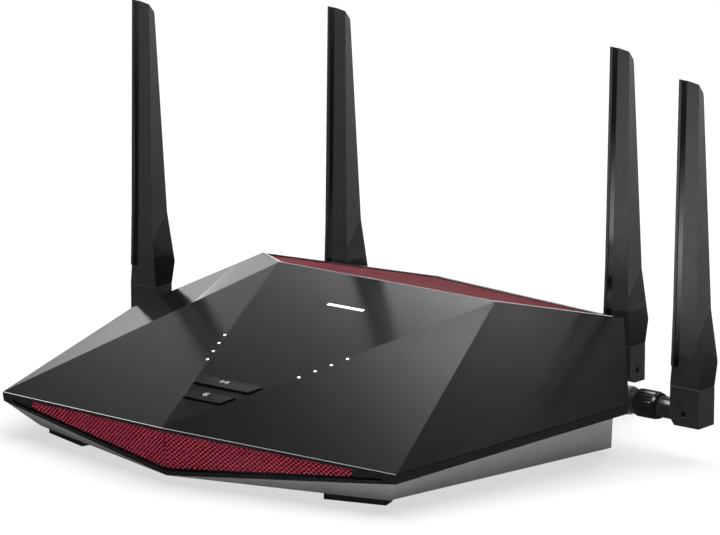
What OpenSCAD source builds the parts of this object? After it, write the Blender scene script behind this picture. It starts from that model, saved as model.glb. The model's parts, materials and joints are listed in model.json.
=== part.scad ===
// Desktop wireless router: a low faceted body with four folding antennas.
// Millimetres. +X is the width, +Y points to the rear and +Z is up.
// The origin is on the table, midway between the nose and the rear antennas' backs.
// "Outline" lists run counter-clockwise from above, starting at the nose.

/* [Body] */
// Width over the widest corners
body_w = 297; // [292:1:302]
// Depth from the nose to the rear edge
body_d = 201.3; // [199:0.1:204]
// Height of the crown, the highest edge of the top
crown_z = 63.8; // [62:0.1:66]
// Width of the crown
crown_w = 128.8; // [124:0.1:132]
// Height of the nose's top edge
nose_z = 26.3; // [26:0.1:27]
// Height of the nose's face, which holds the front grille
nose_face_h = 22; // [21.5:0.1:22.5]
// Width over the front corners
front_w = 232; // [228:1:236]
// Height of the front corners' top edge
front_z = 19.8; // [19.5:0.1:20.5]
// Width over the rear corners
rear_w = 216.6; // [214:0.1:220]
// Height of the rear corners
rear_z = 54.8; // [54:0.1:56]
// Height of the rear edge at its middle
rear_mid_z = 59; // [58:0.1:60]
// Height of the rim band under the top cover
rim_h = 4.4; // [4:0.1:5]

/* [Shells] */
// Thickness of the top cover
cover_t = 2; // [1.8:0.1:2.4]
// Thickness of the bottom casing
casing_t = 2.2; // [2:0.1:2.6]
// Height of the rubber feet
foot_h = 3.4; // [3:0.1:4]

/* [Controls and lights] */
// Travel of the two top buttons
button_travel = 0.8; // [0.4:0.1:0.9]
// Depth of each top button, front to back
button_d = 8; // [7:0.1:8.2]
// Length of the status light bar
bar_l = 21.2; // [18:0.1:24]
// Distance between neighbouring indicator lights along a crease
led_pitch = 8.6; // [8:0.1:9]

/* [Antennas] */
// Height of the side antennas' swivel axis
side_axis_z = 23.2; // [22:0.1:24]
// Height of the rear antennas' swivel axis
rear_axis_z = 20.9; // [20:0.1:22]
// Distance of the rear antennas from the middle
rear_antenna_x = 84.2; // [83:0.1:85]
// Height of an antenna from its underside to its tip
antenna_h = 159.6; // [150:0.1:165]
// Running clearance of the swivels and hinge pins, on the radius
run_gap = 0.05; // [0.03:0.01:0.08]

/* [Hidden] */
$fn = 40;
eps = 0.01;
through = 400;

// Places measured from the nose and from the rear edge.
rear_reach = 42.9;                       // rear edge to the back of the rear blades
nose_y = -(body_d + rear_reach) / 2;
rear_y = nose_y + body_d;
front_y = nose_y + 22.1;
crown_y = rear_y - 40.4;
widest_y = rear_y - 51.3;
side_axis_y = rear_y - 21.1;
panel_y = rear_y - 2;                    // outer face of the rear panel

function flip(p) = [-p.x, p.y, p.z];
function unit(v) = v / norm(v);
function plan(p) = [p.x, p.y];
// Height at (x, y) of the plane through three points.
function plane_z(a, b, c, x, y) =
    let (n = cross(b - a, c - a))
    a.z - (n.x * (x - a.x) + n.y * (y - a.y)) / n.z;

nose = [0, nose_y, nose_z];
front = [front_w / 2, front_y, front_z];
rear = [rear_w / 2, rear_y, rear_z];
rear_mid = [0, rear_y, rear_mid_z];
crown = [crown_w / 2, crown_y, crown_z];
widest_x = body_w / 2;
// The side facet is flat, so the widest corner's height follows from the others.
widest = [widest_x, widest_y, plane_z(front, crown, rear, widest_x, widest_y)];

function ring8(a, b, c, d, e) = [a, b, c, d, e, flip(d), flip(c), flip(b)];
outline = ring8(nose, front, widest, rear, rear_mid);

function inward(a, b) = let (u = unit(plan(b) - plan(a))) [-u.y, u.x];
// Plan shift of a corner when its two edges move inwards by d1 and d2.
function corner_shift(ring, i, d1, d2) =
    let (n1 = inward(ring[(i + 7) % 8], ring[i]))
    let (n2 = inward(ring[i], ring[(i + 1) % 8]))
    let (det = n1.x * n2.y - n1.y * n2.x)
    abs(det) < 0.01 ? d1 * n1
        : [d1 * n2.y - d2 * n1.y, d2 * n1.x - d1 * n2.x] / det;
// A ring with each corner moved in by d[i] on both edges, and down by h[i].
function dropped(ring, h, d) = [for (i = [0:7])
    let (s = corner_shift(ring, i, d[i], d[i]))
    ring[i] + [s.x, s.y, -h[i]]];
// A ring with edge i moved in by d[i].
function inset(ring, d) = [for (i = [0:7])
    let (s = corner_shift(ring, i, d[(i + 7) % 8], d[i]))
    ring[i] + [s.x, s.y, 0]];
function lowered(ring, h) = [for (p = ring) p - [0, 0, h]];
function at_height(ring, z) = [for (p = ring) [p.x, p.y, z]];
function same(v) = [for (i = [0:7]) v];

// Faces are listed counter-clockwise from outside and turned over for polyhedron.
function turned(face) = [for (i = [len(face) - 1:-1:0]) face[i]];
function walls(top, bottom, n = 8) = [for (i = [0:n - 1]) let (j = (i + 1) % n)
    each [[bottom + i, bottom + j, top + j], [bottom + i, top + j, top + i]]];
function fan(ring, centre, n = 8) = [for (i = [0:n - 1]) [ring + i, ring + (i + 1) % n, centre]];
// The facets of the top, for a ring that starts at index r and crowns at c and c + 1.
function facets(r, c) = [
    [r, c, c + 1], [r, r + 1, c], [r, c + 1, r + 7],
    [r + 1, r + 2, c], [r + 2, r + 3, c], [c + 1, r + 5, r + 6], [c + 1, r + 6, r + 7],
    [c, r + 3, r + 4], [c, r + 4, c + 1], [c + 1, r + 4, r + 5]];
module solid(points, faces) {
    polyhedron(points, [for (f = faces) turned(f)]);
}
// A sheet over surface points, with its rim as a loop of indices.
module sheet(points, triangles, loop, up, down) {
    n = len(points);
    upper = [for (p = points) p + [0, 0, up]];
    lower = [for (p = points) p - [0, 0, down]];
    rim = [for (k = [0:len(loop) - 1]) let (a = loop[k], b = loop[(k + 1) % len(loop)])
        each [[a + n, b + n, b], [a + n, b, a]]];
    under = [for (f = triangles) turned([for (i = f) i + n])];
    solid(concat(upper, lower), concat(triangles, under, rim));
}
// A ring-shaped band between an outer and an inner wall.
module band(outer_top, outer_bottom, inner_top, inner_bottom) {
    inside = [for (f = walls(16, 24)) turned(f)];
    cap = [for (i = [0:7]) let (j = (i + 1) % 8) each [[i, j, i + 16], [j, j + 16, i + 16]]];
    base = [for (i = [0:7]) let (j = (i + 1) % 8)
        each [[i + 8, j + 24, j + 8], [i + 8, i + 24, j + 24]]];
    solid(concat(outer_top, outer_bottom, inner_top, inner_bottom),
        concat(walls(0, 8), inside, cap, base));
}

// Rim band and bottom casing outlines.
edge_h = 0.5;                            // visible edge of the top cover
rim_in = 3;                              // depth of the rim band
diagonal_in = 7;                         // overhang of the rim above the side jacks
parting = 0.5;
rim_draft = 2.3 / 22;                    // inward lean of the rim per unit of height
rim_heights = [nose_face_h, rim_h, rim_h, rim_h, rim_h, rim_h, rim_h, rim_h];
rim_top = dropped(outline, same(edge_h), same(edge_h * rim_draft));
rim_bottom = dropped(outline, rim_heights, rim_heights * rim_draft);
rim_edges = [rim_in, rim_in, diagonal_in + 2.5, rim_in, rim_in, diagonal_in + 2.5, rim_in, rim_in];
rim_shelf = 1.6;                         // underside of the cover's edge, below the outline
casing_edges = [0.8, 0.8, diagonal_in, 1.2, 1.2, diagonal_in, 0.8, 0.8];
casing_top = lowered(inset(rim_bottom, casing_edges), parting);
casing_floor = ring8([0, nose_y + 4.3, foot_h], [103.1, nose_y + 33.6, foot_h],
    [126.8, rear_y - 34.6, foot_h], [101, rear_y - 2.5, foot_h], [0, rear_y - 2.5, foot_h]);
floor_z = foot_h + casing_t;

// The centre panel of the top, as a frame: origin at the nose, y up the slope, z outwards.
panel_deg = atan2(crown_z - nose_z, crown_y - nose_y);
panel_l = norm([crown_y - nose_y, crown_z - nose_z]);
module on_panel() {
    translate(nose) rotate([panel_deg, 0, 0]) children();
}
function crease_x(v) = crown.x * v / panel_l;
// A strip of the panel between two distances from the nose, short of both creases by e.
function strip(a, b, e) = [[e - crease_x(a), a], [crease_x(a) - e, a],
    [crease_x(b) - e, b], [e - crease_x(b), b]];
button_v = [42.2, 28.6];                 // front edges of the rear and the front button
button_in = 0.1;                         // distance of a button's hole from the creases
button_gap = 0.35;
button_rise = [0.95, 0.8];               // how far a button stands proud, front and rear
button_lip = 0.7;                        // reach of the flange that keeps a button in
switch_top = -8.9;                       // top of the small switches under the buttons
post_end = switch_top + button_travel + 0.2;
bar_v = 134.7;
bar_t = 1.9;

// The two facets beside the centre panel, each as a frame along its crease.
crease_dir = unit(crown - nose);
facet_normal = unit(cross(front - nose, crown - nose));
facet_side = cross(crease_dir, facet_normal);
led_first = 0.4 * norm(crown - nose);   // nearest light, from the nose
led_in = 1.3;                            // distance of the lights from the crease
leds = [for (k = [0:3]) nose + crease_dir * (led_first + k * led_pitch) + facet_side * led_in];
module on_crease(p) {                     // x across the crease, y along it, z outwards
    multmatrix([
        [facet_side.x, crease_dir.x, facet_normal.x, p.x],
        [facet_side.y, crease_dir.y, facet_normal.y, p.y],
        [facet_side.z, crease_dir.z, facet_normal.z, p.z]]) children();
}
led_r = 0.7;
led_depth = 3;

// Rear vent: the opening follows the crown and leaves a lip along the rear edge.
lip = 3;
function toward(a, b, d) = a + (b - a) * d / norm(b - a);
vent_end = toward(rear, crown, 5);
vent_mid = toward(rear_mid, [0, crown_y, crown_z], lip);
trim_w = 1;
trim_end = toward(vent_end, vent_mid, trim_w * 1.6);
trim_crown = toward(toward(crown, rear_mid, trim_w * 1.1), crown - [30, 0, 0], 0.5);

// Main board, its screws and the case screws.
board_z = 10.4;
board_t = 1.6;
board_top = board_z + board_t;
board_x = 90;
board_front = nose_y + 56.8;
board_rear = rear_y - 6;
board_screws_at = [for (sx = [-1, 1], y = [nose_y + 63.8, rear_y - 59.5]) [sx * 82, y]];
case_screws_at = [for (sx = [-1, 1]) each [[sx * 92, nose_y + 47.8], [sx * 104, rear_y - 47.5]]];
screw_r = 1.2;
head_r = 2.8;
column_r = 3.6;
soc_y = nose_y + 111.8;

// Sockets on the rear panel, by their distance from the middle.
port_z = board_top;
lan_w = 14.4;
lan_pitch = 14.5;
lan_h = 13.4;
lan_x = [for (k = [0:3]) -12 + k * lan_pitch];
wan_x = 53;
usb_x = -33;
usb_w = 13.2;
usb_h = 5.8;
power_x = -66;
switch_x = -50;
reset_x = 67;
port_face = rear_y - 1.7;
cavity_w = 11.8;
cavity_h = 8;
cavity_d = 13;
plunger_r = 4;
plunger_z = board_top + 6;
inlet_w = 9.4;
inlet_h = 11;
inlet_bore_r = 3.15;
inlet_pin_r = 1;

// Antennas. In an antenna's own frame the swivel axis is +X, away from the body,
// and x is 0 where the knurled nut starts.
nut_l = 11.5;
nut_r = 6.5;
barrel_r = 3.1;
barrel_l = 9;
stem_from = 11.8;
stem_to = 20.2;
stem_r = 5;
neck_r = 1.9;
block_from = 20.6;
block_h = 18.3;
pin_up = 5.8;                            // pin above the block's underside
pin_r = 1.4;
tongue_t = 4.6;
tongue_r = 4.4;
slot_gap = 0.3;
hex_l = 4.1;
hex_r = 6.1;
side_start = 133;
rear_start = rear_y + 6.9;
blade_w = 16.2;
block_w = 16.4;                            // along X
block_d = 12.2;                          // along Y
// For each antenna: start of its axis, direction in degrees, pin's distance into the block.
antennas = [
    [[-side_start, side_axis_y, side_axis_z], 180, 7.8],
    [[-rear_antenna_x, rear_start, rear_axis_z], 90, 6],
    [[rear_antenna_x, rear_start, rear_axis_z], 90, 6],
    [[side_start, side_axis_y, side_axis_z], 0, 7.8]];
function along(i) = antennas[i][1] == 90 ? block_d : block_w;   // block along its stem
function across(i) = antennas[i][1] == 90 ? block_w : block_d;
module at_antenna(i) {
    translate(antennas[i][0]) rotate([0, 0, antennas[i][1]]) children();
}
module along_x(r, from, to) {
    translate([from, 0, 0]) rotate([0, 90, 0]) cylinder(r = r, h = to - from);
}
module upright(i) {                      // on the block's underside, turned like the body
    at_antenna(i) translate([block_from + along(i) / 2, 0, -pin_up])
        rotate([0, 0, -antennas[i][1]]) children();
}

// ---------------------------------------------------------------- shells

module cover_skin() {
    under = dropped(outline, same(rim_shelf), same(rim_in));
    crowns = [crown, flip(crown)];
    solid(concat(outline, rim_top, under, crowns, lowered(crowns, cover_t)),
        concat(facets(0, 24), walls(0, 8), walls(8, 16), [for (f = facets(16, 26)) turned(f)]));
}

module under_cover() {                   // everything below the middle of the cover's skin
    half = cover_t / 2;
    crowns = lowered([crown, flip(crown)], half);
    top = lowered(inset(outline, same(rim_in)), 0);
    base = at_height(top, 0);
    solid(concat(top, base, crowns, [[0, 0, 0]]),
        concat(facets(0, 16), walls(0, 8), [for (f = fan(8, 18)) turned(f)]));
}

module vent_hole() {
    corners = [vent_end, vent_mid, flip(vent_end), flip(crown), crown];
    linear_extrude(through) polygon([for (p = corners) plan(p)]);
}

module led_lenses() {
    for (p = leds) on_crease(p) translate([0, 0, -led_depth])
        cylinder(r = led_r, h = led_depth + 0.05, $fn = 12);
}

module top_cover() {
    color("#141518") {
        difference() {
            cover_skin();
            vent_hole();
            for (v = button_v) on_panel() translate([0, 0, -5]) linear_extrude(10)
                polygon(strip(v, v + button_d, button_in));
            on_panel() translate([-bar_l / 2, bar_v - bar_t / 2, -5]) cube([bar_l, bar_t, 10]);
            led_lenses();
            mirror([1, 0, 0]) led_lenses();
        }
        difference() {
            intersection() {
                under_cover();
                for (p = case_screws_at) translate([p.x, p.y, floor_z])
                    cylinder(r = column_r, h = crown_z);
            }
            for (p = case_screws_at) translate([p.x, p.y, 0]) cylinder(r = screw_r + 0.05, h = 16);
        }
        for (sx = [-1, 1]) on_panel() translate([sx * 9, (button_v[0] + button_v[1] + button_d) / 2, -12.5])
            cylinder(r = 1.9, h = 11);
    }
}

// The front faces' slab between two depths behind the rim's face.
module nose_slab(d0, d1) {
    over = 3;
    points = [for (side = [d0, d1], down = [false, true], i = [7, 0, 1])
        let (h = down ? rim_heights[i] + over : -over)
        let (d = side + h * rim_draft)
        let (s = corner_shift(outline, i, d, d))
        outline[i] + [s.x, s.y, -h]];
    solid(points, [[3, 4, 1], [3, 1, 0], [4, 5, 2], [4, 2, 1],
        [7, 10, 9], [7, 9, 6], [8, 11, 10], [8, 10, 7],
        [0, 1, 7], [0, 7, 6], [1, 2, 8], [1, 8, 7],
        [3, 10, 4], [3, 9, 10], [4, 11, 5], [4, 10, 11],
        [0, 6, 9], [0, 9, 3], [2, 5, 11], [2, 11, 8]]);
}

lip_upper = 1.65;                        // below the outline's edge
lip_lower = 1.5;                         // above the rim's bottom
shadow_gap = 1.2;                        // open slot between the lower lip and the grille
slot_end = 108.5;
grille_end = 94.5;
function face_top(x) = nose_z - (nose_z - front_z) * x / front.x;
function face_bottom(x) = face_top(x) - nose_face_h + (nose_face_h - rim_h) * x / front.x;
// A prism through the nose, seen from the front: up to x on both sides, from low above the
// face's bottom to high, which is measured down from its top, or up from its bottom if negative.
module mouth(x, low, high) {
    function top_at(u) = high < 0 ? face_bottom(u) - high : face_top(u) - high;
    translate([0, front_y + 10, 0]) rotate([90, 0, 0]) linear_extrude(60)
        polygon([[-x, face_bottom(x) + low], [0, face_bottom(0) + low], [x, face_bottom(x) + low],
            [x, top_at(x)], [0, top_at(0)], [-x, top_at(x)]]);
}

module rim_frame() {
    color("#303236") difference() {
        band(rim_top, rim_bottom, dropped(outline, same(rim_shelf), same(rim_in)),
            inset(rim_bottom, rim_edges));
        intersection() {
            mouth(grille_end, lip_lower, lip_upper);
            nose_slab(-1, 6);
        }
        intersection() {
            mouth(slot_end, lip_lower, -lip_lower - shadow_gap);
            nose_slab(-1, 1.6);
        }
    }
}

module front_grille() {
    color("#7a1620") intersection() {
        mouth(grille_end, lip_lower + shadow_gap, lip_upper);
        nose_slab(0.9, 2.1);
    }
}

module rear_vent_grille() {
    color("#7a1620") sheet([trim_crown, flip(trim_crown), flip(trim_end), vent_mid, trim_end],
        [[0, 3, 1], [0, 4, 3], [1, 3, 2]], [0, 4, 3, 2, 1], -0.5, 1.7);
}

module vent_trim() {
    color("#8d8d90") sheet([crown, flip(crown), flip(vent_end), flip(trim_end), flip(trim_crown),
            trim_crown, trim_end, vent_end],
        [[0, 5, 4], [0, 4, 1], [1, 4, 3], [1, 3, 2], [0, 7, 6], [0, 6, 5]],
        [0, 7, 6, 5, 4, 3, 2, 1], 0.15, cover_t);
}

module casing_body() {
    top_c = [0, 0, 20];
    solid(concat(casing_top, casing_floor, [top_c, [0, 0, foot_h]]),
        concat(walls(0, 8), fan(0, 16), [for (f = fan(8, 17)) turned(f)]));
}

module casing_void() {
    reach = 1.8;                         // carries the void's walls past the casing's top
    base = at_height(inset(casing_floor, same(3)), floor_z);
    edge = inset(casing_top, same(casing_t));
    top = [for (i = [0:7]) let (e = [edge[i].x, edge[i].y, max(edge[i].z, floor_z + 4)])
        base[i] + (e - base[i]) * reach];
    solid(concat(top, base, [[0, 0, 90], [0, 0, floor_z]]),
        concat(walls(0, 8), fan(0, 16), [for (f = fan(8, 17)) turned(f)]));
}

panel_x = 98;
panel_low = 7;
panel_high = 45;
panel_t = 2.4;

module bottom_casing() {
    vent_l = 34;
    color("#3a3c40") difference() {
        union() {
            difference() {
                casing_body();
                casing_void();
                translate([-panel_x, rear_y - 12, panel_low])
                    cube([2 * panel_x, 20, panel_high - panel_low]);
            }
            for (p = board_screws_at) translate([p.x, p.y, floor_z - 1])
                cylinder(r = 3, h = board_z - floor_z + 1);
            for (i = [0, 3]) at_antenna(i) along_x(nut_r + 0.1, -25, -hex_l - 0.4);
        }
        for (p = board_screws_at) translate([p.x, p.y, floor_z + 0.4])
            cylinder(r = screw_r + 0.05, h = 10);
        for (p = case_screws_at) translate([p.x, p.y, foot_h - 1]) {
            cylinder(r = screw_r + 0.4, h = 10);
            cylinder(r = head_r + 0.3, h = 2.2);
        }
        for (i = [0, 3]) at_antenna(i) along_x(barrel_r + run_gap, -40, 0);
        for (sx = [-1, 1], k = [0:9]) translate([sx * 36 - vent_l / 2, nose_y + 60 + k * 9, 0])
            cube([vent_l, 2.6, floor_z + 1]);
    }
}

module rear_panel() {
    color("#1d1e21") difference() {
        union() {
            translate([-panel_x, panel_y - panel_t, panel_low])
                cube([2 * panel_x, panel_t, panel_high - panel_low]);
            for (i = [1, 2]) at_antenna(i) along_x(nut_r + 0.1, panel_y - rear_start - eps, -hex_l - 0.4);
        }
        translate([lan_x[0] - lan_w / 2, rear_y - 9, port_z])
            cube([lan_pitch * 3 + lan_w, 12, lan_h]);
        translate([wan_x - lan_w / 2, rear_y - 9, port_z]) cube([lan_w, 12, lan_h]);
        translate([usb_x - usb_w / 2, rear_y - 9, port_z + 1]) cube([usb_w, 12, usb_h]);
        translate([power_x - inlet_w / 2, rear_y - 9, port_z]) cube([inlet_w, 12, inlet_h]);
        translate([switch_x, rear_y + 2, plunger_z]) rotate([90, 0, 0])
            cylinder(r = plunger_r + 0.3, h = 12);
        translate([reset_x, rear_y + 2, plunger_z]) rotate([90, 0, 0]) cylinder(r = 1.1, h = 12);
        for (i = [1, 2]) at_antenna(i) along_x(barrel_r + run_gap, -20, 0);
    }
}

// ---------------------------------------------------------------- controls and lights

// A top button: a wedge that stands proud at its front edge, a retaining flange and a post.
module top_button(v) {
    g = button_gap;
    shape = strip(v + g, v + button_d - g, button_in + g);
    low = [for (p = shape) [p.x, p.y, -2.4]];
    high = [for (k = [0:3]) [shape[k].x, shape[k].y, button_rise[k < 2 ? 0 : 1]]];
    on_panel() {
        solid(concat(high, low), concat(walls(0, 4, 4), [[0, 1, 2], [0, 2, 3], [4, 6, 5], [4, 7, 6]]));
        translate([0, 0, -3.3]) linear_extrude(0.9)
            polygon(strip(v - button_lip, v + button_d + button_lip, 3.5));
        translate([-2, v + button_d / 2 - 2, post_end]) cube([4, 4, -3.2 - post_end]);
    }
}

module wifi_button() {
    color("#17181b") top_button(button_v[0]);
}

module pairing_button() {
    color("#17181b") top_button(button_v[1]);
}

module button_board() {
    color("#1c5a36") on_panel() {
        translate([-13, button_v[1] - 1, switch_top - 5.1]) cube([26, 24, 1.4]);
        for (v = button_v) translate([-3, v + button_d / 2 - 3, switch_top - 3.8]) cube([6, 6, 3.8]);
    }
}

module light_pipe() {
    rail = 2;
    led_lenses();
    for (p = leds) translate([p.x - 0.8, p.y - 0.8, board_top + 1]) cube([1.6, 1.6, p.z - board_top - 3.8]);
    hull() {
        for (p = [leds[0], leds[3]]) translate([p.x, p.y, p.z - led_depth - 0.8])
            cube([rail, rail, rail], center = true);
    }
}

module light_pipe_right() {
    color("#e8ecf0") light_pipe();
}

module light_pipe_left() {
    color("#e8ecf0") mirror([1, 0, 0]) light_pipe();
}

function panel_point(v, n) = nose + [0, v * cos(panel_deg) - n * sin(panel_deg),
    v * sin(panel_deg) + n * cos(panel_deg)];
bar_foot = panel_point(bar_v, -4);

module status_light_bar() {
    color("#f4f6f8") {
        on_panel() translate([-bar_l / 2, bar_v - bar_t / 2, -4.5]) cube([bar_l, bar_t, 4.55]);
        for (x = [-8, 8]) translate([x - 0.8, bar_foot.y - 0.8, board_top + 1])
            cube([1.6, 1.6, bar_foot.z - board_top]);
    }
}

module indicator_leds() {
    places = concat([for (p = leds, s = [-1, 1]) [s * p.x, p.y]], [for (x = [-8, 8]) [x, bar_foot.y]]);
    color("#f2f2e6") for (p = places) translate([p.x - 1, p.y - 0.7, board_top]) cube([2, 1.4, 0.9]);
}

module power_button() {
    color("#2b2d30") translate([switch_x, rear_y + 0.6, plunger_z]) rotate([90, 0, 0])
        cylinder(r = plunger_r, h = 9.6);
}

module power_switch() {
    color("#26282b") translate([switch_x - 5.8, rear_y - 19, board_top]) cube([11.6, 8.5, 11.5]);
}

module reset_button() {
    color("#a02a30") translate([reset_x, panel_y - 0.8, plunger_z]) rotate([90, 0, 0])
        cylinder(r = 0.75, h = 6);
}

module reset_switch() {
    color("#26282b") translate([reset_x - 3, rear_y - 15, board_top]) cube([6, 5.6, 8]);
}

// ---------------------------------------------------------------- electronics

module main_board() {
    color("#1c5a36") difference() {
        translate([-board_x, board_front, board_z])
            cube([2 * board_x, board_rear - board_front, board_t]);
        for (p = board_screws_at) translate([p.x, p.y, board_z - 1]) cylinder(r = screw_r + 0.4, h = 4);
    }
}

module chip(x, y, w, d, h, z = board_top) {
    translate([x - w / 2, y - d / 2, z]) cube([w, d, h]);
}

module processor_chips() {
    color("#17181a") {
        chip(0, soc_y, 24, 24, 1.8);
        chip(20, soc_y + 4, 10, 14, 1.8);
        chip(-20, soc_y, 12, 9, 1.8);
    }
}

module thermal_pad() {
    color("#9fb3c8") chip(0, soc_y, 24, 24, 1, board_top + 1.8);
}

module heat_sink() {
    base_z = board_top + 2.8;
    color("#8f9296") {
        chip(0, soc_y, 60, 28, 3, base_z);
        for (k = [0:10]) translate([-29 + k * 5.65, soc_y - 14, base_z + 2.9]) cube([1.4, 28, 15]);
    }
}

module radio_shields() {
    color("#b9bcc0") for (sx = [-1, 1]) chip(sx * 61, soc_y, 34, 40, 4);
}

module magnetics() {
    color("#1b1c1e") for (x = concat(lan_x, [wan_x])) chip(x, rear_y - 29, 12, 10, 5);
}

module jack() {
    color("#1a1b1d") difference() {
        translate([-lan_w / 2, port_face - 17, port_z]) cube([lan_w, 17, lan_h]);
        translate([-cavity_w / 2, port_face - cavity_d, port_z + 3.4])
            cube([cavity_w, cavity_d + 1, cavity_h]);
        translate([-3, port_face - cavity_d, port_z + 1.2]) cube([6, cavity_d + 1, 3]);
    }
}

module lan_jacks() {
    for (x = lan_x) translate([x, 0, 0]) jack();
}

module wan_jack() {
    translate([wan_x, 0, 0]) jack();
}

module usb_socket() {
    shell = 0.45;
    depth = 14;
    color("#c4c8cc") translate([usb_x, port_face, port_z + 1]) {
        difference() {
            translate([-usb_w / 2, -depth, 0]) cube([usb_w, depth, usb_h]);
            translate([-usb_w / 2 + shell, -depth + 1.5, shell])
                cube([usb_w - 2 * shell, depth, usb_h - 2 * shell]);
        }
        translate([-5.7, -depth + 1, usb_h - shell - 2.2]) cube([11.4, depth - 2, 1.6]);
    }
}

module power_inlet() {
    centre_z = port_z + inlet_h / 2;
    color("#1a1b1d") {
        difference() {
            translate([power_x - inlet_w / 2, port_face - 13, port_z]) cube([inlet_w, 13, inlet_h]);
            translate([power_x, port_face + 1, centre_z]) rotate([90, 0, 0])
                cylinder(r = inlet_bore_r, h = 11);
        }
        translate([power_x, port_face - 1.5, centre_z]) rotate([90, 0, 0])
            cylinder(r = inlet_pin_r, h = 9.5);
    }
}

// ---------------------------------------------------------------- feet, screws and leads

module foot(outer, inner, w) {
    u = unit(inner - outer);
    n = [u.y, -u.x];
    d = n.y > 0 ? n : -n;
    linear_extrude(foot_h) polygon([outer, inner, inner + d * w, outer + d * w]);
}

module front_feet() {
    color("#1a1a1c") for (s = [0, 1]) mirror([s, 0, 0])
        foot([99.9, nose_y + 35.7], [71.2, nose_y + 26.8], 8);
}

module rear_feet() {
    color("#1a1a1c") for (s = [0, 1]) mirror([s, 0, 0])
        foot([108, rear_y - 26], [80, rear_y - 18], 8);
}

module case_screws() {
    color("#8a8d90") for (p = case_screws_at) translate([p.x, p.y, foot_h + 0.1]) {
        difference() {
            cylinder(r = head_r, h = 1);
            translate([-2, -0.4, -0.6]) cube([4, 0.8, 1]);
            translate([-0.4, -2, -0.6]) cube([0.8, 4, 1]);
        }
        translate([0, 0, 0.9]) cylinder(r = screw_r, h = 10);
    }
}

module board_screws() {
    color("#8a8d90") for (p = board_screws_at) translate([p.x, p.y, 0]) {
        translate([0, 0, floor_z + 0.6]) cylinder(r = screw_r, h = board_top - floor_z - 0.5);
        translate([0, 0, board_top]) difference() {
            cylinder(r = head_r, h = 1.7);
            translate([-2, -0.4, 1]) cube([4, 0.8, 1]);
            translate([-0.4, -2, 1]) cube([0.8, 4, 1]);
        }
    }
}

// A round lead through a list of points: a ring of eight corners at each, joined up.
lead_sides = 8;
function tangent(path, k) = unit(path[min(k + 1, len(path) - 1)] - path[max(k - 1, 0)]);
function lead_ring(p, t, r) =
    let (u = unit(cross([1, 1, -1], t)), v = cross(t, u))
    [for (k = [0:lead_sides - 1]) p + r * (u * cos(k * 45) + v * sin(k * 45))];
module lead(path, r) {
    n = len(path);
    rings = [for (k = [0:n - 1]) each lead_ring(path[k], tangent(path, k), r)];
    tube = [for (k = [0:n - 2]) each walls(lead_sides * (k + 1), lead_sides * k, lead_sides)];
    start = turned([for (k = [0:lead_sides - 1]) k]);
    finish = [for (k = [0:lead_sides - 1]) lead_sides * (n - 1) + k];
    solid(rings, concat(tube, [start, finish]));
}

module coax_leads() {
    lead_r = 0.7;
    plug_z = board_top + 2.5;            // the leads run straight down onto the board from here
    end = side_start - 28.5;
    y = side_axis_y;
    color("#2a2a2c") for (s = [0, 1]) mirror([s, 0, 0]) {
        lead([[end, y, side_axis_z], [98, y, side_axis_z], [86, y - 12, 18], [84, y - 16, plug_z],
            [84, y - 16, board_top]], lead_r);
        lead([[rear_antenna_x, rear_y - 10, rear_axis_z], [rear_antenna_x, rear_y - 13, rear_axis_z],
            [77, rear_y - 18, 17], [75, rear_y - 20, plug_z], [75, rear_y - 20, board_top]], lead_r);
    }
}

module antenna_jacks() {
    color("#b08d3e") for (i = [0:3]) at_antenna(i) {
        inner_end = i == 0 || i == 3 ? -28.5 : rear_y - 10 - rear_start;
        shoulder = i == 0 || i == 3 ? -25 : panel_y - panel_t - rear_start;
        difference() {
            union() {
                along_x(barrel_r, inner_end + 1, barrel_l);
                along_x(4.6, inner_end, shoulder);
            }
            along_x(neck_r + run_gap, -1.5, barrel_l + 1);
        }
    }
}

module jack_nuts() {
    color("#2c2d30") for (i = [0:3]) at_antenna(i) difference() {
        translate([-hex_l - 0.4, 0, 0]) rotate([0, 90, 0]) cylinder(r = hex_r, h = hex_l, $fn = 6);
        along_x(barrel_r + run_gap, -10, 1);
    }
}

// ---------------------------------------------------------------- antennas

module knurled_nut(i) {
    ridges = 26;
    groove = 0.4;
    collar = 1.6;
    knurl = [for (k = [0:2 * ridges - 1])
        let (r = nut_r - (k % 2) * groove)
        r * [cos(k * 180 / ridges), sin(k * 180 / ridges)]];
    color("#17181a") at_antenna(i) difference() {
        union() {
            rotate([0, 90, 0]) linear_extrude(nut_l - collar) polygon(knurl);
            along_x(nut_r - 0.5, nut_l - collar - eps, nut_l);
        }
        along_x(barrel_r + run_gap, -1, nut_l + 1);
    }
}

module swivel_stem(i) {
    pin_x = block_from + antennas[i][2];
    color("#232427") at_antenna(i) difference() {
        union() {
            along_x(neck_r, -1, stem_from + 1);
            along_x(stem_r, stem_from, stem_to);
            translate([stem_to - 1, -tongue_t / 2, -tongue_r])
                cube([pin_x - stem_to + 1, tongue_t, 2 * tongue_r]);
            translate([pin_x, tongue_t / 2, 0]) rotate([90, 0, 0]) cylinder(r = tongue_r, h = tongue_t);
        }
        translate([pin_x, 20, 0]) rotate([90, 0, 0]) cylinder(r = pin_r + run_gap, h = 40);
    }
}

module hinge_pin(i) {
    l = across(i) - 1.6;
    color("#55585c") at_antenna(i) translate([block_from + antennas[i][2], l / 2, 0])
        rotate([90, 0, 0]) cylinder(r = pin_r, h = l);
}

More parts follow.
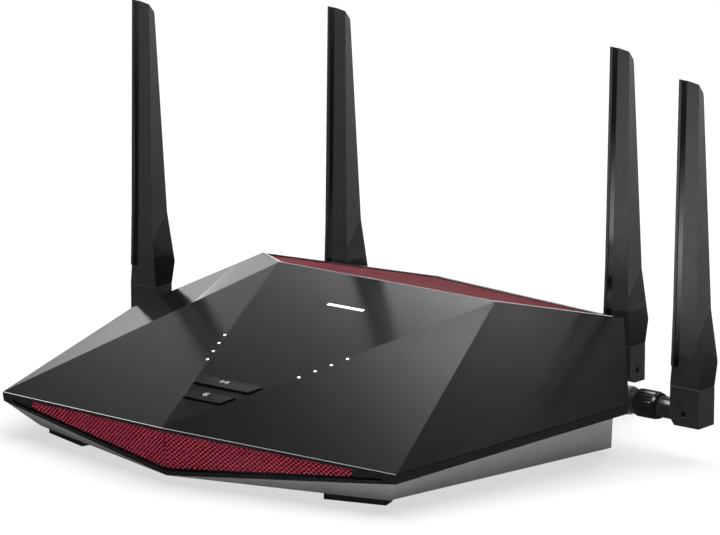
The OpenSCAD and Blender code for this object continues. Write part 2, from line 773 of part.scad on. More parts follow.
module hinge_block(i) {
    pin_in = antennas[i][2];
    w = across(i);
    slot = tongue_t + 2 * slot_gap;
    slot_r = tongue_r + slot_gap;
    color("#26272a") at_antenna(i) translate([block_from, 0, -pin_up]) difference() {
        translate([0, -w / 2, 0]) cube([along(i), w, block_h]);
        // the corner beside the stem is rounded about the pin
        difference() {
            translate([-1, -w / 2 - 1, -1]) cube([pin_in + 1, w + 2, pin_up + 1]);
            translate([pin_in, w / 2 + 2, pin_up]) rotate([90, 0, 0]) cylinder(r = pin_in, h = w + 4);
        }
        translate([-1, -slot / 2, -1]) cube([pin_in + slot_r + 1, slot, pin_up + slot_r + 1]);
        translate([pin_in, w / 2 + 1, pin_up]) rotate([90, 0, 0]) cylinder(r = pin_r, h = w + 2);
    }
}

// Cross-sections of a blade: height, half width, front and rear face.
blade_sections = [
    [block_h, blade_w / 2, -6.1, 6.1],
    [28.6, 7.4, -6.7, 9.3],
    [53.6, 6.6, -6.7, 4.9],
    [antenna_h, 5.5, -6.1, -2.4]];
tip_drop = 5;
radiator_h = 84;

module blade(i) {
    n = len(blade_sections);
    points = [for (s = blade_sections)
        let (drop = s[0] == antenna_h ? tip_drop : 0)
        each [[-s[1], s[2], s[0]], [s[1], s[2], s[0] - drop], [s[1], s[3], s[0] - drop],
            [-s[1], s[3], s[0]]]];
    sides = [for (k = [0:n - 2]) each walls(4 * k + 4, 4 * k, 4)];
    top = 4 * (n - 1);
    color("#2b2c2f") upright(i) difference() {
        solid(points, concat(sides, [[2, 1, 0], [3, 2, 0], [top, top + 1, top + 2],
            [top, top + 2, top + 3]]));
        // pocket for the radiator, open at the seam
        solid([[-4.6, -4.6, 106], [4.6, -4.6, 106], [4.6, -0.8, 106], [-4.6, -0.8, 106],
            [-6, -4.3, block_h - 1], [6, -4.3, block_h - 1], [6, 4, block_h - 1], [-6, 4, block_h - 1]],
            concat(walls(0, 4, 4), [[0, 1, 2], [0, 2, 3], [4, 6, 5], [4, 7, 6]]));
    }
}

module radiator(i) {
    color("#1c5a36") upright(i) translate([-4, -3.4, block_h + eps]) cube([8, 1, radiator_h]);
}

// ---------------------------------------------------------------- assembly

top_cover();
rim_frame();
bottom_casing();
rear_panel();
front_grille();
rear_vent_grille();
vent_trim();
wifi_button();
pairing_button();
button_board();
light_pipe_left();
light_pipe_right();
status_light_bar();
indicator_leds();
main_board();
processor_chips();
radio_shields();
magnetics();
thermal_pad();
heat_sink();
lan_jacks();
wan_jack();
usb_socket();
power_inlet();
power_switch();
power_button();
reset_switch();
reset_button();
front_feet();
rear_feet();
case_screws();
board_screws();
coax_leads();
antenna_jacks();
jack_nuts();
knurled_nut(0);  // knurled_nut_1
knurled_nut(1);  // knurled_nut_2
knurled_nut(2);  // knurled_nut_3
knurled_nut(3);  // knurled_nut_4
swivel_stem(0);  // swivel_stem_1
swivel_stem(1);  // swivel_stem_2
swivel_stem(2);  // swivel_stem_3
swivel_stem(3);  // swivel_stem_4
hinge_pin(0);  // hinge_pin_1
hinge_pin(1);  // hinge_pin_2
hinge_pin(2);  // hinge_pin_3
hinge_pin(3);  // hinge_pin_4
hinge_block(0);  // hinge_block_1
hinge_block(1);  // hinge_block_2
hinge_block(2);  // hinge_block_3
hinge_block(3);  // hinge_block_4
blade(0);  // blade_1
blade(1);  // blade_2
blade(2);  // blade_3
blade(3);  // blade_4
radiator(0);  // radiator_1
radiator(1);  // radiator_2
radiator(2);  // radiator_3
radiator(3);  // radiator_4
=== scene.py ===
"""A desktop wireless router: materials, moulded detail, light and camera round the CAD frame.

Metres, +X is the width, +Y points to the rear and +Z is up, with the table at zero.
"""

import json
import math

import bmesh
import bpy
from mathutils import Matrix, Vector

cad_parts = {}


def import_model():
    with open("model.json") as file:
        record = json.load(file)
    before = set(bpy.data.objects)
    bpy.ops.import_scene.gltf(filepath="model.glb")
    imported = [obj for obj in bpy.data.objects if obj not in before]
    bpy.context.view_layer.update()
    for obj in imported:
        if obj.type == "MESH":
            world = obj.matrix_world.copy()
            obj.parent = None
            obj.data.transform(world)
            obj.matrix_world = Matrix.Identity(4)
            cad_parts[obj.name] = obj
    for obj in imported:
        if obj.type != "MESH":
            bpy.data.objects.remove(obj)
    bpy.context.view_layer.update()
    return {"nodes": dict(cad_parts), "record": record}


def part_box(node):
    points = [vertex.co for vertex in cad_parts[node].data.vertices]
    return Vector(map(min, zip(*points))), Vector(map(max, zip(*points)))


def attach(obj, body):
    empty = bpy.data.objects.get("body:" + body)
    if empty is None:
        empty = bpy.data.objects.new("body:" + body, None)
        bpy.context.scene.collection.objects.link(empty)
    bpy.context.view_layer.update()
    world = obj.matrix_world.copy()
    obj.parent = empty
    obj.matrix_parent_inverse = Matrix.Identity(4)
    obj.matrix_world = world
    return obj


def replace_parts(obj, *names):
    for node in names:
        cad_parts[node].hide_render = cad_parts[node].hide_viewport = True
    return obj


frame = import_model()
NODES = frame["nodes"]
SCENE = bpy.context.scene
MM = 0.001
ANTENNAS = (1, 2, 3, 4)


# ---------------------------------------------------------------- material tools

class Graph:
    """A node tree whose nodes are added by kind and linked."""

    def __init__(self, tree):
        self.tree = tree

    def add(self, kind, **values):
        node = self.tree.nodes.new(kind)
        for name, value in values.items():
            setattr(node, name, value)
        return node

    def link(self, out, into):
        self.tree.links.new(out, into)

    def spread(self, value, low, high, start=0.3, end=0.7):
        """Value mapped from start..end to low..high."""
        node = self.add("ShaderNodeMapRange")
        node.inputs["From Min"].default_value = start
        node.inputs["From Max"].default_value = end
        node.inputs["To Min"].default_value = low
        node.inputs["To Max"].default_value = high
        self.link(value, node.inputs["Value"])
        return node.outputs["Result"]

    def maths(self, operation, first, second):
        """The result of two values, each a socket or a number."""
        node = self.add("ShaderNodeMath", operation=operation)
        for value, into in zip((first, second), node.inputs):
            if isinstance(value, (int, float)):
                into.default_value = value
            else:
                self.link(value, into)
        return node.outputs["Value"]


class Shader(Graph):
    """A Principled material, with the marks that real surfaces have."""

    def __init__(self, name, colour, roughness, metallic=0.0):
        self.material = bpy.data.materials.new(name)
        self.material.use_nodes = True
        super().__init__(self.material.node_tree)
        self.surface = self.tree.nodes["Principled BSDF"]
        self.set("Base Color", (*colour, 1))
        self.set("Roughness", roughness)
        self.set("Metallic", metallic)
        self.set("IOR", 1.5)
        self.colour = colour
        self.roughness = roughness
        self.place = self.add("ShaderNodeTexCoord").outputs["Object"]

    def set(self, socket, value):
        self.surface.inputs[socket].default_value = value

    def noise(self, size, detail=3.0, stretch=(1, 1, 1)):
        """Noise whose features are about size metres wide, squeezed by stretch."""
        mapping = self.add("ShaderNodeMapping")
        mapping.inputs["Scale"].default_value = stretch
        self.link(self.place, mapping.inputs["Vector"])
        node = self.add("ShaderNodeTexNoise")
        node.inputs["Scale"].default_value = 1 / size
        node.inputs["Detail"].default_value = detail
        self.link(mapping.outputs["Vector"], node.inputs["Vector"])
        return node.outputs["Fac"]

    def vary_roughness(self, size, amount, stretch=(1, 1, 1)):
        smoothest = 0.02
        value = self.noise(size, stretch=stretch)
        low = max(smoothest, self.roughness - amount)
        self.link(self.spread(value, low, self.roughness + amount), self.surface.inputs["Roughness"])

    def vary_colour(self, size, amount, stretch=(1, 1, 1)):
        """Slightly darker and lighter patches of the base colour."""
        mix = self.add("ShaderNodeMix", data_type="RGBA")
        mix.inputs[6].default_value = (*[c * (1 - amount) for c in self.colour], 1)
        mix.inputs[7].default_value = (*[min(1, c * (1 + amount)) for c in self.colour], 1)
        self.link(self.spread(self.noise(size, stretch=stretch), 0, 1), mix.inputs[0])
        self.link(mix.outputs[2], self.surface.inputs["Base Color"])

    def paint_edge_highlight(self, colour, amount, radius=0.4 * MM):
        """Painted highlight: edges lightened towards colour, as the bevel node finds them."""
        bevel = self.add("ShaderNodeBevel", samples=4)
        bevel.inputs["Radius"].default_value = radius
        geometry = self.add("ShaderNodeNewGeometry")
        dot = self.add("ShaderNodeVectorMath", operation="DOT_PRODUCT")
        self.link(bevel.outputs["Normal"], dot.inputs[0])
        self.link(geometry.outputs["True Normal"], dot.inputs[1])
        edge = self.spread(dot.outputs["Value"], amount, 0, 0.8, 1.0)
        mix = self.add("ShaderNodeMix", data_type="RGBA")
        mix.inputs[7].default_value = (*colour, 1)
        socket = self.surface.inputs["Base Color"]
        self.link(socket.links[0].from_socket, mix.inputs[6])
        self.link(edge, mix.inputs[0])
        self.link(mix.outputs[2], socket)

    def bump(self, height, depth, before=None):
        """Relief of depth metres from a 0 to 1 height."""
        node = self.add("ShaderNodeBump")
        node.inputs["Distance"].default_value = depth
        self.link(height, node.inputs["Height"])
        if before:
            self.link(before, node.inputs["Normal"])
        self.link(node.outputs["Normal"], self.surface.inputs["Normal"])
        return node.outputs["Normal"]


def polished(name, colour, roughness):
    """Glossy moulded plastic: faint flow marks, the slightest ripple and settled dust."""
    s = Shader(name, colour, roughness)
    s.vary_roughness(9 * MM, 0.008)
    s.vary_colour(14 * MM, 0.12)
    ripple = s.bump(s.noise(9 * MM, 1.0), 0.0008 * MM)
    s.bump(s.noise(0.5 * MM, 2.0), 0.0006 * MM, ripple)
    return s.material


def moulded(name, colour, roughness, grain, depth, edge_highlight=0.0, mottled=0.18):
    """Textured moulded plastic with a spark-eroded grain of that size and depth, and, when
    edge_highlight is set, a painted highlight along its edges.
    """
    s = Shader(name, colour, roughness)
    s.vary_colour(1.5 * grain, mottled)
    s.vary_roughness(6 * grain, 0.05)
    # painted highlight: edges lightened towards 2.2 times the colour, standing in for light caught on
    # them
    if edge_highlight:
        s.paint_edge_highlight([min(1, c * 2.2) for c in colour], edge_highlight)
    fine = s.bump(s.noise(grain, 2.0), depth)
    s.bump(s.noise(8 * MM, 1.0), 0.01 * MM, fine)
    return s.material


def metal(name, colour, roughness, brushed=(1, 1, 1), painted=False):
    """Plated, brushed or painted metal, with marks drawn out along one axis."""
    s = Shader(name, colour, roughness, metallic=0.0 if painted else 1.0)
    s.vary_roughness(0.5 * MM, 0.06, brushed)
    s.vary_colour(2 * MM, 0.1, brushed)
    s.bump(s.noise(0.3 * MM, 3.0, brushed), 0.004 * MM)
    return s.material


def rubber(name, colour):
    s = Shader(name, colour, 0.75)
    s.vary_colour(1.2 * MM, 0.2)
    s.bump(s.noise(0.25 * MM, 2.0), 0.03 * MM)
    return s.material


def board_mask(name, colour):
    """Green solder mask over fibreglass: tracks show as a fine relief."""
    s = Shader(name, colour, 0.3)
    tracks = s.add("ShaderNodeTexBrick")
    tracks.inputs["Scale"].default_value = 120
    s.link(s.place, tracks.inputs["Vector"])
    s.vary_colour(3 * MM, 0.25)
    s.bump(tracks.outputs["Fac"], 0.03 * MM)
    return s.material


def printed(name, colour, roughness, cover):
    """Printed ink, a little uneven in its cover."""
    s = Shader(name, colour, roughness)
    s.vary_colour(0.3 * MM, cover)
    s.bump(s.noise(0.15 * MM, 1.0), 0.002 * MM)
    return s.material


# a moulded material's sixth value is the strength of its painted edge highlight
MATERIALS = {
    "cover": polished("cover_black", (0.0062, 0.0063, 0.0066), 0.15),
    "button": polished("button_black", (0.0055, 0.0055, 0.006), 0.16),
    "rim": moulded("rim_grey", (0.009, 0.0091, 0.0096), 0.42, 0.35 * MM, 0.006 * MM, 0.3),
    "casing": moulded("casing_grey", (0.15, 0.151, 0.155), 0.4, 0.4 * MM, 0.01 * MM),
    "panel": moulded("panel_black", (0.014, 0.014, 0.015), 0.5, 0.3 * MM, 0.02 * MM),
    "red_mesh": metal("mesh_red", (0.4, 0.028, 0.06), 0.28, painted=True),
    "vent_red": metal("vent_red", (0.13, 0.008, 0.014), 0.38, painted=True),
    "trim": polished("trim_silver", (0.5, 0.49, 0.49), 0.22),
    "circuit_board": board_mask("solder_mask", (0.012, 0.11, 0.04)),
    "ink": printed("ink_white", (0.5, 0.51, 0.52), 0.5, 0.3),
    "chip": moulded("chip_epoxy", (0.014, 0.014, 0.015), 0.55, 0.15 * MM, 0.006 * MM),
    "shield_can": metal("shield_tin", (0.6, 0.61, 0.63), 0.3, (1, 6, 1)),
    "thermal_pad": rubber("pad_blue", (0.3, 0.38, 0.5)),
    "heat_sink": metal("heat_sink_aluminium", (0.62, 0.63, 0.65), 0.35, (6, 1, 1)),
    "socket": moulded("socket_black", (0.016, 0.016, 0.018), 0.42, 0.2 * MM, 0.008 * MM),
    "socket_shell": metal("shell_nickel", (0.7, 0.71, 0.72), 0.2, (1, 1, 6)),
    "rear_button": moulded("button_grey", (0.045, 0.045, 0.05), 0.4, 0.25 * MM, 0.01 * MM),
    "reset_plunger": moulded("plunger_red", (0.35, 0.03, 0.03), 0.45, 0.2 * MM, 0.005 * MM),
    "foot": rubber("foot_rubber", (0.017, 0.017, 0.018)),
    "screw": metal("screw_zinc", (0.52, 0.53, 0.55), 0.28),
    "coax": rubber("coax_black", (0.02, 0.02, 0.02)),
    "jack_brass": metal("jack_gold", (0.83, 0.6, 0.24), 0.24, (6, 1, 1)),
    "jack_nut": metal("jack_nut_black", (0.03, 0.03, 0.032), 0.34, painted=True),
    "knurled_nut": moulded("nut_black", (0.007, 0.007, 0.0075), 0.22, 0.2 * MM, 0.004 * MM, 0.35),
    "stem": polished("stem_black", (0.016, 0.016, 0.018), 0.26),
    "pin": metal("pin_blackened", (0.06, 0.06, 0.065), 0.4),
    "antenna_base": moulded("base_matt", (0.017, 0.0172, 0.018), 0.36, 0.28 * MM, 0.02 * MM, 0.3),
    "blade_gloss": polished("blade_gloss", (0.004, 0.004, 0.0045), 0.12),
    "antenna_blade": moulded("blade_matt", (0.019, 0.0193, 0.02), 0.4, 0.5 * MM, 0.09 * MM, 0.25, 0.6),
}


# ---------------------------------------------------------------- mesh tools

def new_piece(name, mesh, material, body):
    piece = bpy.data.objects.new(name, mesh)
    SCENE.collection.objects.link(piece)
    mesh.materials.append(material)
    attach(piece, body)
    return piece


def mesh_from(name, points, faces):
    """A mesh with its normals outward."""
    mesh = bpy.data.meshes.new(name)
    mesh.from_pydata([tuple(p) for p in points], [], faces)
    mesh.validate()
    work = bmesh.new()
    work.from_mesh(mesh)
    bmesh.ops.recalc_face_normals(work, faces=work.faces)
    work.to_mesh(mesh)
    work.free()
    return mesh


def rounded(piece, width, angle=30, segments=2, clamped=True, harden=True):
    """Small radii on the edges sharper than angle, as a mould leaves them."""
    weld = piece.modifiers.new("weld", "WELD")
    weld.merge_threshold = 0.002 * MM
    bevel = piece.modifiers.new("bevel", "BEVEL")
    bevel.width = width
    bevel.segments = segments
    bevel.limit_method = "ANGLE"
    bevel.angle_limit = math.radians(angle)
    bevel.harden_normals = harden
    bevel.use_clamp_overlap = clamped


def top_face(node):
    """A node's uppermost face."""
    return max(NODES[node].data.polygons, key=lambda f: f.center.z + f.normal.z * MM)


# ---------------------------------------------------------------- the CAD nodes' finish

LAMP_WHITE = (0.95, 0.97, 1.0)
LAMP_STRENGTH = 1.4
GLOW_SKIN = (0.15 * MM, 0.05 * MM)          # below a light pipe's face: no glow, full glow

EDGE_RADII = {                              # in mm
    "rim_frame": 0.25, "bottom_casing": 0.35, "rear_panel": 0.2, "wifi_button": 0.25,
    "pairing_button": 0.25, "vent_trim": 0.12, "front_feet": 0.5, "rear_feet": 0.5,
    "lan_jacks": 0.15, "wan_jack": 0.15, "usb_socket": 0.1, "power_inlet": 0.2,
    "power_button": 0.5, "jack_nuts": 0.25,
}


def lit(node):
    """A clear light pipe that glows only at its outer face."""
    outer = top_face(node)
    s = Shader(node, (0.55, 0.57, 0.6), 0.25)
    s.set("Emission Color", (*LAMP_WHITE, 1))
    level = s.add("ShaderNodeVectorMath", operation="DOT_PRODUCT")
    level.inputs[1].default_value = outer.normal
    s.link(s.place, level.inputs[0])
    height = outer.center.dot(outer.normal)
    dark, full = GLOW_SKIN
    skin = s.spread(level.outputs["Value"], 0, LAMP_STRENGTH, height - dark, height - full)
    s.link(skin, s.surface.inputs["Emission Strength"])
    s.bump(s.noise(0.4 * MM, 1.0), 0.003 * MM)
    return s.material


def dress_nodes():
    """Each CAD node takes the material of its slot in the record."""
    for part in frame["record"]["subparts"]:
        name = part["node"]
        slot = part["material_slot"]
        materials = NODES[name].data.materials
        materials.clear()
        materials.append(lit(name) if slot == "light_lens" else MATERIALS[slot])


def dress_edges():
    """Edge radii. The cover's is not limited by its shortest edges."""
    for name, width in EDGE_RADII.items():
        rounded(NODES[name], width * MM)
    rounded(NODES["top_cover"], 0.35 * MM, clamped=False)
    for k in ANTENNAS:
        rounded(NODES[f"hinge_block_{k}"], 0.4 * MM, segments=3, harden=False)
        rounded(NODES[f"knurled_nut_{k}"], 0.12 * MM, 20)
        rounded(NODES[f"swivel_stem_{k}"], 0.3 * MM)


# ---------------------------------------------------------------- red wire mesh

DIAMOND = (2.5 * MM, 2.06 * MM)             # width and height of one opening with its wires
WIRE_W = 0.46 * MM
WIRE_T = 0.22 * MM
WIRE_SIDES = 6
WEAVE = 0.09 * MM                           # how far a wire rises and dips at each crossing
SHORTEST_WIRE = 0.4 * MM
PROBE = 0.05 * MM                           # half the length over which a wire's way is measured
FRONT_MESH_IN = 0.5 * MM                    # the meshes lie this far inside their nodes' faces
REAR_MESH_IN = 0.25 * MM


def clip_line(outline, start, way):
    """Distances along a line at which it enters and leaves a convex outline."""
    low, high = -math.inf, math.inf
    for a, b in zip(outline, outline[1:] + outline[:1]):
        side = Vector((a[1] - b[1], b[0] - a[0]))
        reach = side.dot(way)
        room = side.dot(Vector(a) - start)
        if abs(reach) < 1e-12:
            if room > 0:
                return None
        elif reach > 0:
            low = max(low, room / reach)
        else:
            high = min(high, room / reach)
    return (low, high) if high - low > SHORTEST_WIRE else None


def wire_stops(start, way, low, high, step):
    """Distances along a wire of its ends, its crossings and x = 0, where the front mesh folds."""
    stops = [low, high]
    stops += [k * step for k in range(math.ceil(low / step), math.ceil(high / step))]
    fold = -start[0] / way[0]
    if low < fold < high:
        stops.append(fold)
    return sorted(set(round(s, 8) for s in stops))


def wire(lift, start, way, stops, step, phase, points, faces):
    """One wire of the weave, with a flattened round section."""
    n = WIRE_SIDES
    turns = [math.tau * (i + 0.5) / n for i in range(n)]
    base = len(points)
    for s in stops:
        at = start + way * s
        middle, out = lift(at)
        ahead = (lift(at + way * PROBE)[0] - lift(at - way * PROBE)[0]).normalized()
        side = out.cross(ahead).normalized()
        wave = WEAVE * math.cos(math.pi * s / step + phase)
        for turn in turns:
            across = side * (math.cos(turn) * WIRE_W / 2)
            points.append(middle + across + out * (math.sin(turn) * WIRE_T / 2 + wave))
    last = base + (len(stops) - 1) * n
    for ring in range(base, last, n):
        for j in range(n):
            a = ring + j
            b = ring + (j + 1) % n
            faces.append((a, b, b + n, a + n))
    faces.append(tuple(range(base, base + n)))
    faces.append(tuple(range(last, last + n)))


def weave(name, outline, lift, material):
    """A woven sheet over a convex outline. lift turns its flat points into places and normals."""
    wide, high = DIAMOND
    slope = math.atan2(high, wide)
    gap = wide * math.sin(slope)
    step = math.hypot(wide, high) / 2
    reach = max(Vector(p).length for p in outline)
    rows = int(reach / gap) + 2
    points, faces = [], []
    for turn in (1, -1):
        way = Vector((math.cos(slope), turn * math.sin(slope)))
        across = Vector((-way[1], way[0]))
        under = 0 if turn > 0 else math.pi
        for row in range(-rows, rows + 1):
            start = across * (row * gap)
            span = clip_line(outline, start, way)
            if span:
                stops = wire_stops(start, way, *span, step)
                wire(lift, start, way, stops, step, math.pi * row + under, points, faces)
    mesh = mesh_from(name, points, faces)
    mesh.shade_smooth()
    return new_piece(name, mesh, MATERIALS[material], "root")


def front_ends(points):
    """The front lower and front upper of the points in one upright plane."""
    rising = sorted(points, key=lambda p: p.z)
    low = min(rising[:2], key=lambda p: p.y)
    top = min(rising[-2:], key=lambda p: p.y)
    return low, top


def front_mesh():
    """The nose's mesh: two flat faces that meet at the nose."""
    columns = {}
    for v in NODES["front_grille"].data.vertices:
        columns.setdefault(round(v.co.x, 4), []).append(v.co.copy())
    low_mid, top_mid = front_ends(columns[0.0])
    low_end, top_end = front_ends(columns[max(columns)])
    rise = top_mid - low_mid
    out = (low_end - low_mid).normalized().cross(rise.normalized()).normalized()
    level = Vector((low_end.x - low_mid.x, low_end.y - low_mid.y, 0)).normalized()
    lean = rise.y / rise.z

    def flat(p):
        return (p - low_mid).dot(level), p.z - low_mid.z

    (u0, z0), (u1, z1) = flat(low_end), flat(top_end)
    outline = [(-u0, z0), (0, 0), (u0, z0), (u1, z1), (0, rise.z), (-u1, z1)]

    def lift(at):
        u, z = abs(at[0]), at[1]
        p = low_mid + level * u + Vector((0, lean * z, z)) - out * FRONT_MESH_IN
        if at[0] < 0:
            return Vector((-p.x, p.y, p.z)), Vector((-out.x, out.y, out.z))
        return p, out

    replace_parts(weave("front_mesh", outline, lift, "red_mesh"), "front_grille")


def rear_mesh():
    """The vent's mesh: three flat faces between the crown and the rear edge."""
    shape = NODES["rear_vent_grille"].data
    planes = []
    ring = set()
    for face in shape.polygons:
        if face.normal.z > 0.5:
            corners = [shape.vertices[i].co.copy() for i in face.vertices]
            planes.append((corners[0], face.normal.copy()))
            ring.update((round(c.x, 5), round(c.y, 5)) for c in corners)
    middle = sum((Vector(p) for p in sorted(ring)), Vector((0, 0))) / len(ring)
    around = sorted(ring, key=lambda p: math.atan2(p[1] - middle[1], p[0] - middle[0]))
    outline = [(p[0] - middle[0], p[1] - middle[1]) for p in around]

    def lift(at):
        x, y = at + middle
        heights = [(c.z - (n.x * (x - c.x) + n.y * (y - c.y)) / n.z, n) for c, n in planes]
        z, n = min(heights, key=lambda h: h[0])
        return Vector((x, y, z - REAR_MESH_IN)), n

    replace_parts(weave("rear_mesh", outline, lift, "vent_red"), "rear_vent_grille")


# ---------------------------------------------------------------- antenna blades

# Heights are above the underside of the antenna's hinge block.
BASE_Z = 18.3 * MM                          # lowest section
COLLAR_TOP = 27.6 * MM                      # where the strip and the groove end
HEEL_Z = 28.6 * MM                          # deepest place of the blade
HEEL_TOP = 45 * MM                          # where the gloss of the heel's right side ends
FACET_LOW = 42 * MM                         # the dark facet's corner on the front edge
FACET_TOP = 53.6 * MM                       # and on the rear edge
TIP_Z = 159.6 * MM                          # highest section
SECTIONS = (                                # height, half width, front and rear
    (BASE_Z, 8.1 * MM, -6.1 * MM, 6.1 * MM),
    (HEEL_Z, 7.4 * MM, -6.7 * MM, 9.3 * MM),
    (FACET_TOP, 6.6 * MM, -6.7 * MM, 4.9 * MM),
    (TIP_Z, 5.5 * MM, -6.1 * MM, -2.4 * MM),
)
STRIP_W = 1.6 * MM                          # flat strip along the left edge
GROOVE_W = 2.9 * MM
GROOVE_T = 0.35 * MM
GROOVE_WALL = 0.15 * MM                     # width that a wall of the groove takes up
TUCK = 0.9 * MM                             # how much narrower the rear of the blade is
COLLAR_LEAN = 0.8 * MM                      # how far the collar's top lies behind the front
BODY_ROWS = 6
TIP_ROWS = 4
TIP_H = 9 * MM                              # height over which the tip curves down
TIP_FALL = 1.2 * MM                         # the tip's drop towards the right
REAR_FALL = 1.6 * MM                        # towards the rear
CORNER_FALL = 2.2 * MM                      # and what the rear right corner adds


def section(z):
    """Half width, front and rear of the blade at a height."""
    for low, high in zip(SECTIONS, SECTIONS[1:]):
        if z <= high[0]:
            share = (z - low[0]) / (high[0] - low[0])
            return [p + (q - p) * share for p, q in zip(low[1:], high[1:])]
    return SECTIONS[-1][1:]


def blade_row(z, curve=0.0):
    """The front's six points, left to right, and the rear's two, with the tip's curve."""
    w, front, rear = section(z)
    strip = -w + STRIP_W
    groove = strip + GROOVE_W
    floor_y = front + GROOVE_T
    outline = [
        (-w, front), (strip, front), (strip + GROOVE_WALL, floor_y),
        (groove - GROOVE_WALL, floor_y), (groove, front), (w, front),
        (w - TUCK, rear + TUCK), (TUCK - w, rear + TUCK),
    ]
    row = []
    for x, y in outline:
        right = (x + w) / (2 * w)
        back = (y - front) / (rear - front)
        fall = TIP_FALL * right ** 3 + back * (REAR_FALL + CORNER_FALL * right)
        row.append(Vector((x, y, z - curve * fall)))
    return row


def upper_rows(tip):
    """Rows of the blade above the facet."""
    tip_low = tip - TIP_H
    rows = [blade_row(FACET_TOP)]
    for i in range(1, BODY_ROWS + 1):
        rows.append(blade_row(FACET_TOP + (tip_low - FACET_TOP) * i / BODY_ROWS))
    for i in range(1, TIP_ROWS + 1):
        share = i / TIP_ROWS
        rows.append(blade_row(tip_low + TIP_H * share, share ** 1.5))
    return rows


def foot_faces(seam, base, collar, facet, rear_low):
    """Faces, as corners, from the seam up to the facet's top."""
    w, front, _ = section(COLLAR_TOP)
    left = Vector((-w, front + COLLAR_LEAN, COLLAR_TOP))
    right = Vector((-w + STRIP_W + GROOVE_W, front + COLLAR_LEAN, COLLAR_TOP))
    heel_w, _, heel_rear = section(HEEL_Z)
    heel_right = Vector((heel_w, heel_rear, HEEL_Z))
    heel_left = Vector((-heel_w, heel_rear, HEEL_Z))
    # the collar leans back under the strips' ends, and its right edge runs to the seam's corner
    faces = [
        (base[0], base[1], right, left),
        (left, right, *collar[4::-1]),
        (base[1], collar[4], right),
    ]
    # front: strip, groove and main face up to the facet's corner
    faces += [(collar[j], collar[j + 1], facet[j + 1], facet[j]) for j in range(4)]
    faces.append((collar[4], facet[5], facet[4]))
    faces.append((base[1], facet[5], collar[4]))
    # right side: the facet from the seam's corner up to the rear edge
    faces.append((base[1], base[2], heel_right, facet[5]))
    faces.append((heel_right, rear_low[6], facet[5]))
    # rear and left side
    faces.append((base[2], base[3], heel_left, heel_right))
    faces.append((heel_right, heel_left, rear_low[7], rear_low[6]))
    faces.append((base[3], base[0], left, heel_left))
    faces.append((heel_left, left, collar[0], facet[0], rear_low[0], rear_low[7]))
    # front above the facet's corner
    faces += [(facet[j], facet[j + 1], rear_low[j + 1], rear_low[j]) for j in range(5)]
    faces.append((facet[5], rear_low[6], rear_low[5]))
    return faces


def blade_faces(seam, tip):
    """All faces of a blade, as corners."""
    w, front, rear = section(seam)
    base = [Vector(p) for p in ((-w, front, seam), (w, front, seam), (w, rear, seam), (-w, rear, seam))]
    rows = upper_rows(tip)
    faces = foot_faces(seam, base, blade_row(COLLAR_TOP), blade_row(FACET_LOW), rows[0])
    for low, high in zip(rows, rows[1:]):
        count = len(low)
        for j in range(count):
            n = (j + 1) % count
            faces.append((low[j], low[n], high[n], high[j]))
    faces.append(tuple(reversed(rows[-1])))
    faces.append(tuple(reversed(base)))
    return faces


def numbered(faces, foot):
    """Points, moved to foot, and faces as their numbers. Shared corners are shared points."""
    points, numbers, places = [], [], {}
    for face in faces:
        for corner in face:
            key = tuple(corner)
            if key not in places:
                places[key] = len(points)
                points.append(foot + corner)
        numbers.append(tuple(places[tuple(corner)] for corner in face))
    return points, numbers


def paint_blade(mesh, foot, seam):
    """Gloss in the groove and on the heel's right side, and the block's finish on the collar."""
    gloss, collar = 1, 2
    for face in mesh.polygons:
        x, y, z = face.center - foot
        strip = -section(z)[0] + STRIP_W
        in_groove = strip < x < strip + GROOVE_W and y < -5 * MM and z > COLLAR_TOP + MM
        on_heel = seam < z < HEEL_TOP and face.normal.x > 0.3 and x > 0
        on_collar = z < COLLAR_TOP - 2 * MM and face.normal.y < -0.5 and x < 2 * MM
        if on_collar:
            face.material_index = collar
        elif in_groove or on_heel:
            face.material_index = gloss


def blade(k):
    """One blade: strip and groove down the left of its front, collar, heel and facets."""
    low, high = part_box(f"hinge_block_{k}")
    foot = Vector(((low.x + high.x) / 2, (low.y + high.y) / 2, low.z))
    seam = high.z - low.z
    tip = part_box(f"blade_{k}")[1].z - low.z
    points, faces = numbered(blade_faces(seam, tip), foot)
    mesh = mesh_from(f"blade_{k}_shell", points, faces)
    slot = "antenna_blade"
    piece = new_piece(f"blade_shell_{k}", mesh, MATERIALS[slot], f"antenna_{k}")
    mesh.materials.append(MATERIALS["blade_gloss"])
    mesh.materials.append(MATERIALS["antenna_base"])
    paint_blade(mesh, foot, seam)
    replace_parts(piece, f"blade_{k}")
    rounded(piece, 0.22 * MM, 12)


# ---------------------------------------------------------------- printed signs

INK_T = 0.05 * MM
STROKE = 0.26                               # a sign's line width; strokes are in mm
ARC_STEP = 15                               # degrees
WAVE_HALF = 48                              # half the angle of a radiating arc


def stroke_mesh(stroke, place):
    """Points and faces of one flat arc: middle x, radius, width, start and end angle."""
    x, radius, width, start, end = stroke
    steps = max(3, int((end - start) / ARC_STEP))
    points, faces = [], []
    for i in range(steps + 1):
        turn = math.radians(start + (end - start) * i / steps)
        for r in (radius - width / 2, radius + width / 2):
            for height in (-INK_T, INK_T):
                points.append(place(x + r * math.cos(turn), r * math.sin(turn), height))
    for a in range(0, 4 * steps, 4):
        for p, q in ((0, 1), (1, 3), (3, 2), (2, 0)):
            faces.append((a + p, a + q, a + 4 + q, a + 4 + p))
    last = 4 * steps
    faces.append((0, 1, 3, 2))
    faces.append((last, last + 2, last + 3, last + 1))
    return points, faces


def sign(name, button, shift, strokes):
    """Flat ink strokes on a button's top face, shift metres along x from its middle."""
    face = top_face(button)
    up = face.normal.copy()
    right = Vector((1, 0, 0))
    ahead = up.cross(right)
    origin = face.center + right * shift

    def place(u, v, height):
        return origin + (right * u + ahead * v) * MM + up * height

    points, faces = [], []
    for stroke in strokes:
        more_points, more_faces = stroke_mesh(stroke, place)
        base = len(points)
        points += more_points
        faces += [tuple(base + i for i in f) for f in more_faces]
    new_piece(name, mesh_from(name, points, faces), MATERIALS["ink"], button)


